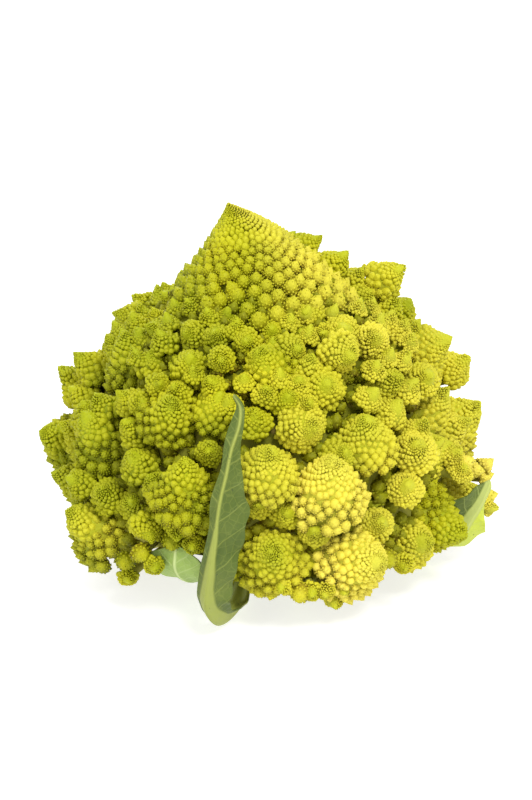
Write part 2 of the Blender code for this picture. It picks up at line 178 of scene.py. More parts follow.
class Tree:
    """A tree of nodes that is being built."""

    def __init__(self, graph):
        self.graph = graph

    def node(self, kind, values=(), output=0, **settings):
        """Adds a node: its settings first, then the values or links of its sockets."""
        made = self.graph.nodes.new(kind)
        for name, value in settings.items():
            setattr(made, name, value)
        pairs = values.items() if isinstance(values, dict) else enumerate(values)
        for key, value in pairs:
            several = value if isinstance(value, list) else [value]
            for one in several:
                if isinstance(one, Wire):
                    self.graph.links.new(one.socket, made.inputs[key])
                else:
                    made.inputs[key].default_value = one
        return Wire(self, made.outputs[output])


def material_tree(name):
    """A new material: (material, its tree, its shader, the place on the object)."""
    material = bpy.data.materials.new(name)
    material.use_nodes = True
    tree = Tree(material.node_tree)
    spot = tree.node("ShaderNodeTexCoord", output="Object")
    return material, tree, material.node_tree.nodes["Principled BSDF"], spot


def blend(tree, factor, a, b):
    """A colour between a and b."""
    return tree.node("ShaderNodeMix", {0: factor, 6: a, 7: b}, data_type="RGBA", output=2)


def colour(r, g, b):
    return (r, g, b, 1.0)


def noise(tree, spot, scale, detail):
    """A cloudy pattern from 0 to 1 with this many patches to the metre."""
    return tree.node("ShaderNodeTexNoise", {"Vector": spot, "Scale": scale, "Detail": detail})


def bumped(tree, strength, distance, height):
    """Fine relief of this height times the distance."""
    return tree.node("ShaderNodeBump", {
        "Strength": strength, "Distance": distance, "Height": height}, output="Normal")


def connect(shader, **values):
    """Sets sockets of the shader, named with _ for a space, to values or links."""
    for name, value in values.items():
        socket = shader.inputs[name.replace("_", " ")]
        if isinstance(value, Wire):
            value.tree.graph.links.new(value.socket, socket)
        else:
            socket.default_value = value


flesh_material, tree, shader, spot = material_tree("curd_flesh")
mottle = noise(tree, spot, 140.0, 4.0)
grit = tree.node("ShaderNodeTexVoronoi", {"Vector": spot, "Scale": 420.0}, feature="SMOOTH_F1")
height = tree.node("ShaderNodeSeparateXYZ", (spot,)).beside("Z")
low = (1.3 - height * 16).within(0.0, 1.0)
# Painted shade: above the underside the flesh takes a dark colour, as it shows only deep in the gaps
shaded = blend(tree, mottle, colour(0.09, 0.10, 0.002), colour(0.17, 0.17, 0.006))
flesh_colour = blend(tree, low * (0.4 + mottle * 0.5), shaded, colour(0.46, 0.44, 0.08))
browned = (low * 0.5 + mottle * 5 - 3.3).within(0.0, 0.7)
flesh_colour = blend(tree, browned, flesh_colour, colour(0.52, 0.36, 0.12))
bump = bumped(tree, 0.7, 0.0006, mottle - grit * 0.6)
connect(shader, Base_Color=flesh_colour, Roughness=0.6 + mottle * 0.2, Normal=bump, Specular_IOR_Level=0.12)
core_piece.data.materials.append(flesh_material)
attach(core_piece, "root")
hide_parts("curd")

# The florets are the head itself: thousands of firm flower buds on the flesh that they grow from. Each
# floret is a smaller copy of the whole, its buds at the golden angle, so that one spiral makes the beads,
# the rosettes of beads, the florets and the crown alike.

MM = 0.001
GOLDEN_ANGLE = math.radians(137.508)
VIEW_DISTANCE = 0.90
VIEW_ELEVATION = math.radians(20)
VIEW_MIDDLE = Vector((0.0, 0.0, 0.065))
APEX_BEAD = 0.0009
FLORET_LENGTH = 0.72
TILT_TO_APEX = math.radians(14)
# In the view a floret leans to the side a little more than its tip and middle say, though never by more
# than this share of its length. Its buds reach a little past its width
SIDE_ON = 1.2
SIDE_ON_LIMIT = 0.80
BUDS_SPREAD = 1.06
# A line of sight is followed in this many steps of a millimetre, and no further back than this
SIGHT_STEPS = 300
SIGHT_END = 0.008

# Large florets seen from the front, in millimetres right of and above the middle of the view:
# tip across, tip up, middle across, middle up, width, how far behind the dome's surface (in front of it
# where negative), and how pale it is, partly its own yellow and partly painted light where the lamp falls
FRONT_FLORETS = (
    (-92, -13, -80, -20, 29, 0, 0.0), (-83, 15, -72, 6, 20, 16, 0.0), (-76, 20, -66, 11, 19, 0, 0.0),
    (-58, 30, -52, 13, 26, 0, 0.2), (-62, 35, -51, 31, 14, 6, 0.0), (-54, 41, -47, 35, 12, 20, 0.0),
    (-49, 32, -40, 27, 19, 0, 0.1), (-43, 44, -36, 39, 14, 0, 0.1), (-75, -6, -61, -17, 32, 0, 0.3),
    (-81, -45, -67, -54, 31, 0, 0.4), (-54, -73, -55, -71, 7.6, 8, 0.3), (-44, -69, -45, -67, 7.6, 4, 0.3),
    (-32, -22, -35, -38, 30, 0, 0.3), (-35, 0, -34, -8, 26, 0, 0.1), (-30, 19, -30, 12, 20, 0, 0.2),
    (-50, -3, -50, -2, 11, 6, 0.0), (-42, 6, -43, 5, 10, 4, 0.0), (-18, 5, -20, -2, 20, 4, 0.1),
    (-23, -21, -23, -22, 11, 6, 0.0), (-48, -30, -44, -34, 13, 6, 0.0), (-48, -46, -46, -48, 13, 6, 0.1),
    (2, -17, 2, -28, 27, 0, 0.5), (28, -20, 29, -37, 35, 0, 0.85), (21, -11, 18, -11, 21, 0, 0.5),
    (42, -8, 39, -16, 26, 0, 0.5), (2, -60, 2, -64, 31, 0, 0.4), (43, -63, 34, -66, 32, 0, 0.9),
    (28, -84, 28, -81, 7.5, 4, 0.5), (12, -80, 13, -78, 7.5, 4, 0.4), (80, -54, 66, -50, 33, 0, 0.1),
    (86, -1, 72, -12, 35, 0, 0.6), (58, -18, 57, -22, 18, 2, 0.6), (75, 28, 65, 21, 24, 0, 0.5),
    (82, 17, 76, 10, 18, 16, 0.5), (54, 53, 43, 45, 21, 4, 0.4), (54, 42, 45, 35, 18, 0, 0.4),
    (58, 40, 53, 34, 14, 16, 0.3), (45, 44, 36, 40, 15, 0, 0.4), (32, 59, 26, 51, 15, 0, 0.3),
    (23, 66, 16, 60, 13, 0, 0.3), (12, 69, 6, 64, 10, 0, 0.3), (56, 10, 46, 6, 25, 0, 0.5),
    (36, 16, 30, 19, 18, 0, 0.5), (26, 6, 25, 3, 20, 0, 0.4), (15, 22, 12, 22, 14, 0, 0.4),
    (0, 18, 4, 10, 25, 0, 0.3), (2, 30, 2, 29, 12, 0, 0.3), (-8, 23, -8, 22, 12, 0, 0.3),
    (-22, 26, -21, 25, 13, 0, 0.2), (-32, 28, -30, 27, 11, 0, 0.2), (-17, 16, -17, 16, 11, 0, 0.2),
    (15, 36, 16, 34, 15, 0, 0.4), (34, 29, 33, 28, 14, 0, 0.5), (45, 25, 44, 24, 15, 0, 0.6),
    (66, 11, 63, 9, 15, 2, 0.5), (56, -34, 55, -36, 16, 4, 0.6), (8, -45, 7, -46, 14, 6, 0.4),
    (18, -51, 18, -52, 12, 6, 0.5), (47, -49, 46, -50, 13, 6, 0.6), (18, -2, 17, -3, 11, 3, 0.4),
    (91, -23, 86, -26, 7.4, 0, 0.9), (93, -37, 88, -38, 7.4, -6, 0.9), (93, -44, 88, -43, 7.6, -4, 0.8),
    (55, -69, 55, -67, 7.5, 6, 0.4), (-66, -35, -64, -37, 16, 8, 0.0), (-80, -32, -75, -35, 14, 4, 0.0),
    (-56, -40, -55, -42, 16, 12, 0.0), (-74, 1, -70, -4, 16, 10, 0.0), (-14, -42, -14, -44, 20, 10, 0.2),
    (-17, -63, -17, -65, 19, 8, 0.2), (9, 0, 9, -4, 17, 3, 0.3), (-5, -3, -5, -8, 15, 4, 0.2),
    (48, 47, 40, 40, 15, 4, 0.4), (40, 52, 33, 46, 14, 3, 0.4), (62, 33, 55, 27, 14, 4, 0.5),
    (-34, -56, -35, -49, 15, 6, 0.2), (-25, -54, -26, -48, 14, 6, 0.2), (-44, -57, -45, -51, 14, 8, 0.2),
    (-38, -61, -38, -59, 7.5, 6, 0.2), (-30, -60, -30, -58, 7.5, 6, 0.2), (-57, -67, -57, -65, 7.4, 8, 0.3),
    (-48, -64, -49, -62, 7.2, 4, 0.3), (23, -79, 23, -77, 7.5, 4, 0.5), (32, -78, 31, -76, 7.6, 4, 0.5),
    (18, -79, 18, -77, 7.6, 4, 0.4), (6, -77, 7, -75, 7.6, 4, 0.4), (50, -66, 50, -64, 7.6, 6, 0.4),
    (-4, -42, -4, -41, 12, 6, 0.4), (14, 29, 14, 29, 11, 3, 0.4), (22, 26, 22, 25, 10, 4, 0.4),
    (84, -23, 80, -25, 7.4, 2, 0.9), (79, -21, 77, -22, 12, 3, 0.6), (80, -27, 78, -28, 10, 4, 0.6),
    (88, -29, 83, -29, 7.4, 4, 0.9), (92, -30, 87, -31, 7.2, -2, 0.9),
)


def spiral_sites(
        first_slant, last_slant, coarseness, lowest, spacing, narrowest=APEX_BEAD, widest=1.0, sunk=False):
    """Florets at the golden angle down the dome, smallest first: (tip, axis, width, paleness).

    The sunk ones stand on the core, under the others."""
    sites = []
    z, slant, count = HEAD_HEIGHT, 0.0, 0.0
    while z > lowest and slant < last_slant:
        radius, below = dome_radius(z), dome_radius(z - DOME_STEP)
        step = math.hypot(DOME_STEP, below - radius)
        slant += step
        z -= DOME_STEP
        if slant < first_slant:
            continue
        share = 0.155 + 0.095 * smooth_step(0.045, 0.105, slant)
        width = min(max(slant * share * coarseness, narrowest), widest)
        count += 2 * math.pi * below * step / (spacing * width * width)
        rise = math.atan2(below - radius, DOME_STEP)
        lower = max(core_inset(slant) - 0.62 * width, 0.0) if sunk else 0.0
        while count >= len(sites) + 1:
            turn = GOLDEN_ANGLE * len(sites)
            outward = level_way(turn)
            normal = outward * math.cos(rise) + Vector((0.0, 0.0, math.sin(rise)))
            lean = rise + TILT_TO_APEX
            axis = outward * math.cos(lean) + Vector((0.0, 0.0, math.sin(lean)))
            tip = dome_centre(z) + outward * below - normal * lower
            # Paler towards the right: partly the florets' own yellow, partly painted light from the key lamp
            sites.append((tip, axis, width, 0.35 + 0.25 * outward.x))
    return sites


def front_sites():
    """The large florets of the front, each put where the line of sight to its tip meets the dome."""
    forward = Vector((0.0, math.cos(VIEW_ELEVATION), -math.sin(VIEW_ELEVATION)))
    right = Vector((1.0, 0.0, 0.0))
    upward = right.cross(forward)
    eye = VIEW_MIDDLE - forward * VIEW_DISTANCE
    sites = []
    for tip_x, tip_up, mid_x, mid_up, width, behind, pale in FRONT_FLORETS:
        ray = (VIEW_MIDDLE + right * tip_x * MM + upward * tip_up * MM - eye).normalized()
        best, best_gap = None, math.inf
        for k in range(SIGHT_STEPS):
            point = eye + ray * (VIEW_DISTANCE - HEAD_HEIGHT + k * MM)
            if point.y > SIGHT_END:
                break
            if not 0 < point.z < HEAD_HEIGHT:
                continue
            gap = (point - dome_centre(point.z)).length / max(dome_radius(point.z), MM) - 1
            if gap < best_gap:
                best, best_gap = point, gap
            if gap <= 0:
                break
        length = FLORET_LENGTH * width * MM
        aside = (right * (tip_x - mid_x) + upward * (tip_up - mid_up)) * MM
        aside *= max(min(SIDE_ON, SIDE_ON_LIMIT * length / max(aside.length, MM)), 1.0)
        towards = math.sqrt(max(length ** 2 - aside.length_squared, 0.0))
        axis = (aside - forward * towards).normalized()
        sites.append((best + ray * behind * MM, axis, width * BUDS_SPREAD * MM, pale))
    return sites


def has_room(tip, axis, width, others, gap):
    """Whether a floret stands clear of the others, by this share of their widths together."""
    middle = tip - axis * width * FLORET_LENGTH
    return all((middle - (other - along * wide * FLORET_LENGTH)).length > gap * (width + wide)
               for other, along, wide, _ in others)


# Large florets fill the rest of the dome, and then smaller ones go where there is still room. Those of the
# front stand back a little, and the space of the pale leaf stays free
FILLERS = ((0.058, 1.0, 0.31), (0.074, 0.60, 0.345))
FILLER_SET_BACK = 0.22
floret_sites = front_sites()
for first, coarseness, gap in FILLERS:
    for tip, axis, width, pale in spiral_sites(first, 1.0, coarseness, lowest=0.018, spacing=0.97):
        by_left_leaf = tip.y < 0 and tip.z < 0.040 and -0.065 < tip.x < -0.010
        if not by_left_leaf and has_room(tip, axis, width, floret_sites, gap):
            behind = width * FILLER_SET_BACK * smooth_step(0.02, -0.03, tip.y)
            floret_sites.append((tip - axis * behind, axis, width, pale))
large_sites = list(floret_sites)

# The crown's own buds stand close all round the apex, and lower down wherever the large florets leave room
CLOSED_CROWN = 0.034
CROWN_GAP = 0.27
for tip, axis, width, pale in spiral_sites(0.0, 0.085, 1.08, lowest=0.0, spacing=0.80):
    near_apex = HEAD_HEIGHT - tip.z < CLOSED_CROWN
    if near_apex or has_room(tip, axis, width, large_sites, CROWN_GAP):
        floret_sites.append((tip, axis, width, pale))
crown_end = len(floret_sites)

# The undergrowth is small florets deep between the large ones. DEEP takes the place of their paleness, and
# the material paints them darker for it: painted shade, as they lie in the shade of the large ones
DEEP = -1.0
undergrowth = spiral_sites(
    0.040, 1.0, 0.30, lowest=0.012, spacing=1.00, narrowest=0.0055, widest=0.0074, sunk=True)
for tip, axis, width, _ in undergrowth:
    by_left_leaf = tip.z < 0.032 and tip.y < -0.04 and -0.055 < tip.x < -0.012
    by_right_leaf = tip.z < 0.045 and tip.x > 0.055 and -0.045 < tip.y < -0.012
    if not by_left_leaf and not by_right_leaf:
        floret_sites.append((tip, axis, width, DEEP))

# Nothing that grows is quite even: each floret leans, moves and swells a little by chance
WOBBLE = 0.10
DEEP_WOBBLE = 0.25
SHIFT = 0.05
jitter = np.random.default_rng(5)
for k, (tip, axis, width, pale) in enumerate(floret_sites):
    wobble = Vector(jitter.normal(0, 1, 3)) * (WOBBLE if k < crown_end else DEEP_WOBBLE)
    shift = Vector(jitter.normal(0, 1, 3)) * width * SHIFT
    floret_sites[k] = (tip + shift, (axis + wobble).normalized(), width * jitter.uniform(0.94, 1.06), pale)


def growth_tree(name, inputs):
    """An empty tree that grows shapes: the tree, and its inputs by name."""
    graph = bpy.data.node_groups.new(name, "GeometryNodeTree")
    for label, kind in inputs.items():
        graph.interface.new_socket(name=label, in_out="INPUT", socket_type="NodeSocket" + kind)
    graph.interface.new_socket(name="Geometry", in_out="OUTPUT", socket_type="NodeSocketGeometry")
    tree = Tree(graph)
    start = graph.nodes.new("NodeGroupInput")
    return tree, {label: Wire(tree, start.outputs[label]) for label in inputs}


def end_tree(tree, geometry):
    """Makes this geometry the tree's result."""
    end = tree.graph.nodes.new("NodeGroupOutput")
    tree.graph.links.new(geometry.socket, end.inputs[0])
    return tree.graph


def kept(tree, geometry, name, value, kind="FLOAT"):
    """Stores a number or a vector on the geometry's points, for the material or a later step to read."""
    return tree.node(
        "GeometryNodeStoreNamedAttribute", {"Geometry": geometry, "Name": name, "Value": value},
        data_type=kind, domain="POINT")


def cone_one_wide(tree, sides, levels):
    """A cone to be shaped, and where each of its points is."""
    cone = tree.node("GeometryNodeMeshCone", {
        "Vertices": sides, "Side Segments": levels, "Radius Top": 0.0, "Radius Bottom": 0.5, "Depth": 1.0})
    return cone, tree.node("ShaderNodeSeparateXYZ", (tree.node("GeometryNodeInputPosition"),))


def bead_tree(name, sides, levels):
    """A pointed or domed bead one unit wide, flat underneath, its tip at the origin."""
    tree, _ = growth_tree(name, {})
    cone, at = cone_one_wide(tree, sides, levels)
    down = 1 - at.beside("Z")
    around = at.beside("Y").maths("ARCTAN2", at)
    radius = (down * 1.75).maths("SINE") * 0.52
    depth = (1 - (down * 1.75).maths("COSINE")) * 0.60
    cone = kept(tree, cone, "grain", 1 - down)
    wall = tree.node("ShaderNodeCombineXYZ", (
        radius * around.maths("COSINE"), radius * around.maths("SINE"), 0 - depth))
    return end_tree(tree, tree.node("GeometryNodeSetPosition", {"Geometry": cone, "Position": wall}))


CLUSTER_BUMP = 0.05


def cluster_tree(name, segments, rings):
    """A bud of a few grains grown together, one unit wide, its tip at the origin."""
    tree, _ = growth_tree(name, {})
    ball = tree.node("GeometryNodeMeshUVSphere", {"Segments": segments, "Rings": rings, "Radius": 0.5})
    at = tree.node("ShaderNodeSeparateXYZ", (tree.node("GeometryNodeInputPosition"),))
    x, y, z = at, at.beside("Y"), at.beside("Z")
    polar = (z * 2).maths("ARCCOSINE")
    around = y.maths("ARCTAN2", x)
    swell = (around * (segments / 2)).maths("COSINE") * (polar * rings).maths("COSINE") * CLUSTER_BUMP
    grown = 1 - swell
    ball = kept(tree, ball, "rise", (0.60 + z * 0.9).positive())
    ball = kept(tree, ball, "grain", 0.6 - swell * 5)
    upper = (z * 2).positive()
    pointed = z * 1.12 + upper * upper * upper * 0.18 - 0.72
    tapered = grown * (1 - upper * upper * 0.30)
    moved = tree.node("ShaderNodeCombineXYZ", (x * tapered, y * tapered, pointed))
    return end_tree(tree, tree.node("GeometryNodeSetPosition", {"Geometry": ball, "Position": moved}))


# The side of a floret in its own widths: straight from the tip at this half angle, then round to the rim
HALF_ANGLE = math.radians(40)
BEND_RADIUS = 0.3416
BEND_FROM = 0.653
LEAN_TO_TIP = 0.30
BLUNT = 0.035


def floret_side(slant):
    """Radius, depth below the tip and slope at this way down a floret's side."""
    slope = HALF_ANGLE - (slant - BEND_FROM).positive() / BEND_RADIUS
    straight = slant.maths("MINIMUM", BEND_FROM)
    radius = straight * math.sin(HALF_ANGLE) + BEND_RADIUS * (slope.maths("COSINE") - math.cos(HALF_ANGLE))
    depth = straight * math.cos(HALF_ANGLE) + BEND_RADIUS * (math.sin(HALF_ANGLE) - slope.maths("SINE"))
    return radius, (depth * depth + BLUNT * BLUNT).maths("SQRT") - BLUNT, slope


def spiral(tree, index, first, share, packing, looseness, seed):
    """The index-th bud of a floret one unit wide: (place, axis, width, slant).

    The buds are even at the tip, then grow."""
    turns = 2 * math.pi * math.sin(HALF_ANGLE) / packing / (share * share)
    even = first * (index * 2 / turns).maths("SQRT")
    growing = first * (index / turns - 0.5).maths("EXPONENT")
    slant = even + (index * 2).maths("GREATER_THAN", turns) * (growing - even)
    radius, depth, slope = floret_side(slant)
    turn = index * GOLDEN_ANGLE
    across, along = turn.maths("COSINE"), turn.maths("SINE")
    jitter = tree.node(
        "FunctionNodeRandomValue", {"Min": -1.0, "Max": 1.0, "Seed": seed}, output="Value", data_type="FLOAT")
    out = 1 + jitter * looseness * 0.3
    place = tree.node("ShaderNodeCombineXYZ", (radius * across * out, radius * along * out, 0 - depth * out))
    near_tip = (1 - slant / first).positive()
    lean = slope + LEAN_TO_TIP + near_tip * (math.pi / 2 - LEAN_TO_TIP - slope)
    level = lean.maths("COSINE")
    axis = tree.node("ShaderNodeCombineXYZ", (level * across, level * along, lean.maths("SINE")))
    sway = tree.node(
        "FunctionNodeRandomValue", {"Min": (-1.0, -1.0, -1.0), "Max": (1.0, 1.0, 1.0), "Seed": seed + 5},
        data_type="FLOAT_VECTOR")
    sway = tree.node("ShaderNodeVectorMath", {0: sway, "Scale": looseness * 1.4}, operation="SCALE")
    axis = tree.node("ShaderNodeVectorMath", (axis, sway), operation="ADD")
    width = share * slant.maths("MAXIMUM", first) * (1.08 + jitter * looseness)
    return place, axis, width, slant


def spiral_count(end, first, share, packing):
    """How many buds the spiral has from the tip to this slant."""
    turns = 2 * math.pi * math.sin(HALF_ANGLE) / packing / (share * share)
    return turns * (0.5 + (end / first).maths("LOGARITHM", math.e))


def body_mesh(tree, sides, levels, share, end, sunk_share):
    """The flesh that a floret's buds stand on: a cone one unit wide, sunk below their tips."""
    cone, at = cone_one_wide(tree, sides, levels)
    down = (1 - at.beside("Z")) * end
    around = at.beside("Y").maths("ARCTAN2", at)
    radius, depth, slope = floret_side(down)
    sunk = (down * share).maths("MAXIMUM", 0.02) * sunk_share
    inner = (radius - sunk * slope.maths("COSINE")).positive()
    wall = tree.node("ShaderNodeCombineXYZ", (
        inner * around.maths("COSINE"), inner * around.maths("SINE"), 0 - depth - sunk * slope.maths("SINE")))
    cone = kept(tree, cone, "rise", 0.8 - down * down)
    cone = kept(tree, cone, "grain", 0.0)
    return tree.node("GeometryNodeSetPosition", {"Geometry": cone, "Position": wall})


def facing_axis(tree, axis, spin):
    """The turn that takes Z to this axis, after this spin about it."""
    turned = tree.node("FunctionNodeAlignRotationToVector", {"Vector": axis}, axis="Z")
    about = tree.node("FunctionNodeAxisAngleToRotation", {"Axis": (0.0, 0.0, 1.0), "Angle": spin})
    return tree.node(
        "FunctionNodeRotateRotation", {"Rotation": turned, "Rotate By": about}, rotation_space="LOCAL")


def named(tree, name, kind="FLOAT"):
    """A stored attribute of the geometry."""
    return tree.node("GeometryNodeInputNamedAttribute", {"Name": name}, output="Attribute", data_type=kind)


# Where a site stands, kept on it as its region, because each region has its own kinds of bud
UNDERGROWTH, BACK, FRONT, CROWN = -1.0, 0.0, 1.0, 2.0
ALL_SITES = 0.5


def grown_on(tree, points, kinds, seed):
    """Puts buds on the points that carry bud_width and bud_axis.

    kinds lists (tree, from this width, to this width, scale, region of its sites or ALL_SITES)."""
    width, axis = named(tree, "bud_width"), named(tree, "bud_axis", "FLOAT_VECTOR")
    spin = tree.node(
        "FunctionNodeRandomValue", {"Max": 2 * math.pi, "Seed": seed}, output="Value", data_type="FLOAT")
    facing = facing_axis(tree, axis, spin)
    shown = []
    site_region = named(tree, "site_region")
    for kind, low, high, scale, region in kinds:
        chosen = width.maths("GREATER_THAN", low) * (1 - width.maths("GREATER_THAN", high))
        if region != ALL_SITES:
            chosen = chosen * (1 - (site_region - region).maths("ABSOLUTE").maths("GREATER_THAN", 0.5))
        shown.append(tree.node("GeometryNodeInstanceOnPoints", {
            "Points": points, "Selection": chosen, "Instance": tree.node("GeometryNodeGroup", node_tree=kind),
            "Rotation": facing, "Scale": width * scale}))
    return shown


ROSETTE_PACKING = 1.0
ROSETTE_END = 0.78
ROSETTE_SINK = 0.30


def rosette_tree(name, mean_width, smallest, share, sides, bead):
    """A small floret one unit wide, whose smallest bead is that many millimetres wide at the mean width."""
    tree, given = growth_tree(name, {"Bud share": "Float", "First slant": "Float", "Seed": "Int"})
    defaults = {"Bud share": share, "First slant": smallest / mean_width / share}
    for item in tree.graph.interface.items_tree:
        if item.name in defaults:
            item.default_value = defaults[item.name]
    bud_share, first, seed = given.values()
    index = tree.node("GeometryNodeInputIndex")
    place, axis, width, slant = spiral(tree, index, first, bud_share, ROSETTE_PACKING, 0.10, seed)
    count = spiral_count(ROSETTE_END, first, bud_share, ROSETTE_PACKING)
    points = tree.node("GeometryNodePoints", {"Count": count, "Position": place})
    points = kept(tree, points, "bud_width", width)
    points = kept(tree, points, "rise", 1 - (slant / ROSETTE_END).maths("POWER", 2.5) * 0.85)
    points = kept(tree, points, "bud_axis", axis, "FLOAT_VECTOR")
    beads = grown_on(tree, points, ((bead, 0.0, 9.0, 1.0, ALL_SITES),), seed + 1)
    flesh = body_mesh(tree, sides, 2, bud_share, ROSETTE_END, ROSETTE_SINK)
    joined = tree.node("GeometryNodeJoinGeometry", {"Geometry": [flesh, *beads]})
    return end_tree(tree, tree.node("GeometryNodeRealizeInstances", {"Geometry": joined}))


sharp_bead = bead_tree("sharp_bead", 4, 1)
round_bead = bead_tree("round_bead", 5, 2)
cluster = cluster_tree("cluster", 7, 4)
grained_bud = cluster_tree("grained_bud", 8, 5)
plain_bead = bead_tree("plain_bead", 3, 1)
small_rosette = rosette_tree("small_rosette", 4.8, 1.00, 0.275, 7, sharp_bead)
full_rosette = rosette_tree("full_rosette", 6.6, 1.00, 0.235, 8, sharp_bead)
plain_rosette = rosette_tree("plain_rosette", 6.6, 1.30, 0.270, 7, plain_bead)
coarse_rosette = rosette_tree("coarse_rosette", 6.4, 1.50, 0.32, 7, plain_bead)
crown_tree, _ = growth_tree("crown_rosette", {})
crown_rosette = end_tree(crown_tree, crown_tree.node("GeometryNodeTransform", {
    "Geometry": crown_tree.node("GeometryNodeGroup", node_tree=small_rosette), "Scale": (1.0, 1.0, 0.86)}))
BUD_KINDS = (
    (sharp_bead, 0.0, 0.00125, 1.12, ALL_SITES), (round_bead, 0.00125, 0.0021, 1.16, ALL_SITES),
    (cluster, 0.0021, 0.0036, 1.20, ALL_SITES),
    (small_rosette, 0.0036, 0.0056, 1.18, FRONT), (full_rosette, 0.0056, 0.0110, 1.16, FRONT),
    (grained_bud, 0.0036, 0.0050, 1.10, BACK), (plain_rosette, 0.0050, 0.0110, 1.14, BACK),
    (coarse_rosette, 0.0036, 0.0110, 1.15, UNDERGROWTH), (crown_rosette, 0.0036, 0.0054, 1.30, CROWN),
    (full_rosette, 0.0054, 0.0110, 1.22, CROWN),
)
# A site wider than the largest bud is a floret with buds of its own, which reach this far down its side;
# those of a pale floret are smaller. The flesh lies under their tips by this share of their width
LARGEST_BUD = 0.0080
FLORET_END = 0.90
FLORET_SINK = 0.60
PALE_BUD_SHARE = 0.78
PALE_FROM = 0.45

growth, given = growth_tree("curd_growth", {
    "Sites": "Geometry", "Core": "Object", "Piece": "Int", "Bud share": "Float", "Packing": "Float",
    "Looseness": "Float", "Seed": "Int", "Material": "Material"})
sites = growth.node("GeometryNodeMeshToPoints", {"Mesh": given["Sites"]})
site_width, site_axis = named(growth, "site_width"), named(growth, "site_axis", "FLOAT_VECTOR")
site_turn = facing_axis(growth, site_axis, named(growth, "site_spin"))
mine = 1 - (named(growth, "site_piece") - given["Piece"]).maths("ABSOLUTE").maths("GREATER_THAN", 0.5)
large = site_width.maths("GREATER_THAN", LARGEST_BUD)
pale_one = named(growth, "site_pale").maths("GREATER_THAN", PALE_FROM)
bodies = []
for chosen in (large, large * mine):
    for factor, side in ((1.0, 1 - pale_one), (PALE_BUD_SHARE, pale_one)):
        flesh = body_mesh(growth, 12, 6, given["Bud share"] * factor, FLORET_END, FLORET_SINK)
        placed = growth.node("GeometryNodeInstanceOnPoints", {
            "Points": sites, "Selection": chosen * side, "Instance": flesh, "Rotation": site_turn,
            "Scale": site_width})
        bodies.append(growth.node("GeometryNodeRealizeInstances", {"Geometry": placed}))
share = given["Bud share"] * (1 - pale_one * (1 - PALE_BUD_SHARE))
core = growth.node("GeometryNodeObjectInfo", {"Object": given["Core"]}, output="Geometry")
solid = growth.node("GeometryNodeJoinGeometry", {"Geometry": [*bodies[:2], core]})

first = named(growth, "site_smallest") / share / site_width
amount = spiral_count(FLORET_END, first, share, given["Packing"])
copies = growth.node("GeometryNodeDuplicateElements", {
    "Geometry": sites, "Selection": large * mine, "Amount": amount}, domain="POINT")
index = copies.beside("Duplicate Index")
place, axis, width, slant = spiral(
    growth, index, first, share, given["Packing"], given["Looseness"], given["Seed"])
copies = kept(growth, copies, "bud_width", width * site_width)
copies = kept(growth, copies, "reach", slant / FLORET_END)
turned = growth.node("FunctionNodeRotateVector", {"Vector": axis, "Rotation": site_turn})
copies = kept(growth, copies, "bud_axis", turned, "FLOAT_VECTOR")
offset = growth.node("FunctionNodeRotateVector", {"Vector": place, "Rotation": site_turn})
offset = growth.node("ShaderNodeVectorMath", {0: offset, "Scale": site_width}, operation="SCALE")
copies = growth.node("GeometryNodeSetPosition", {"Geometry": copies, "Offset": offset})
# A slow swirl moves neighbouring buds alike, so that the rows bend as living ones do
swirl = growth.node("ShaderNodeTexNoise", {"Scale": 130.0, "Detail": 1.0}, output="Color")
swirl = growth.node("ShaderNodeVectorMath", (swirl, (0.5, 0.5, 0.5)), operation="SUBTRACT")
swirl = growth.node("ShaderNodeVectorMath", {0: swirl, "Scale": 0.0032}, operation="SCALE")
copies = growth.node("GeometryNodeSetPosition", {"Geometry": copies, "Offset": swirl})

small = growth.node("GeometryNodeDeleteGeometry", {
    "Geometry": sites, "Selection": 1 - mine * (1 - large)}, domain="POINT")
swollen = 1.04 + site_width.maths("GREATER_THAN", 0.0028) * 0.12
small = kept(growth, small, "bud_width", site_width * swollen)
small = kept(growth, small, "bud_axis", site_axis, "FLOAT_VECTOR")
small = kept(growth, small, "reach", 0.6)
points = growth.node("GeometryNodeJoinGeometry", {"Geometry": [copies, small]})
points = kept(growth, points, "rise", 0.75)

# A bud inside another floret's flesh can't be seen: from there, the nearest face in its way is a back face
here = growth.node("GeometryNodeInputPosition")
away = growth.node("ShaderNodeVectorMath", (here, (0.0, 0.0, 0.05)), operation="SUBTRACT")
hidden = []
for way in (named(growth, "bud_axis", "FLOAT_VECTOR"), away):
    ray = growth.node("GeometryNodeRaycast", {
        "Target Geometry": solid, "Ray Direction": way, "Ray Length": 0.2}, output="Is Hit")
    across = growth.node(
        "ShaderNodeVectorMath", (ray.beside("Hit Normal"), way), output="Value", operation="DOT_PRODUCT")
    hidden.append(ray * across.maths("GREATER_THAN", 0.0))
points = growth.node("GeometryNodeDeleteGeometry", {
    "Geometry": points, "Selection": hidden[0].maths("MAXIMUM", hidden[1])}, domain="POINT")

buds = grown_on(growth, points, BUD_KINDS, given["Seed"] + 3)
joined = growth.node("GeometryNodeJoinGeometry", {"Geometry": [*bodies[2:], *buds]})
joined = growth.node("GeometryNodeRealizeInstances", {"Geometry": joined})
joined = growth.node("GeometryNodeSetShadeSmooth", {"Geometry": joined})
end_tree(growth, growth.node("GeometryNodeSetMaterial", {"Geometry": joined, "Material": given["Material"]}))

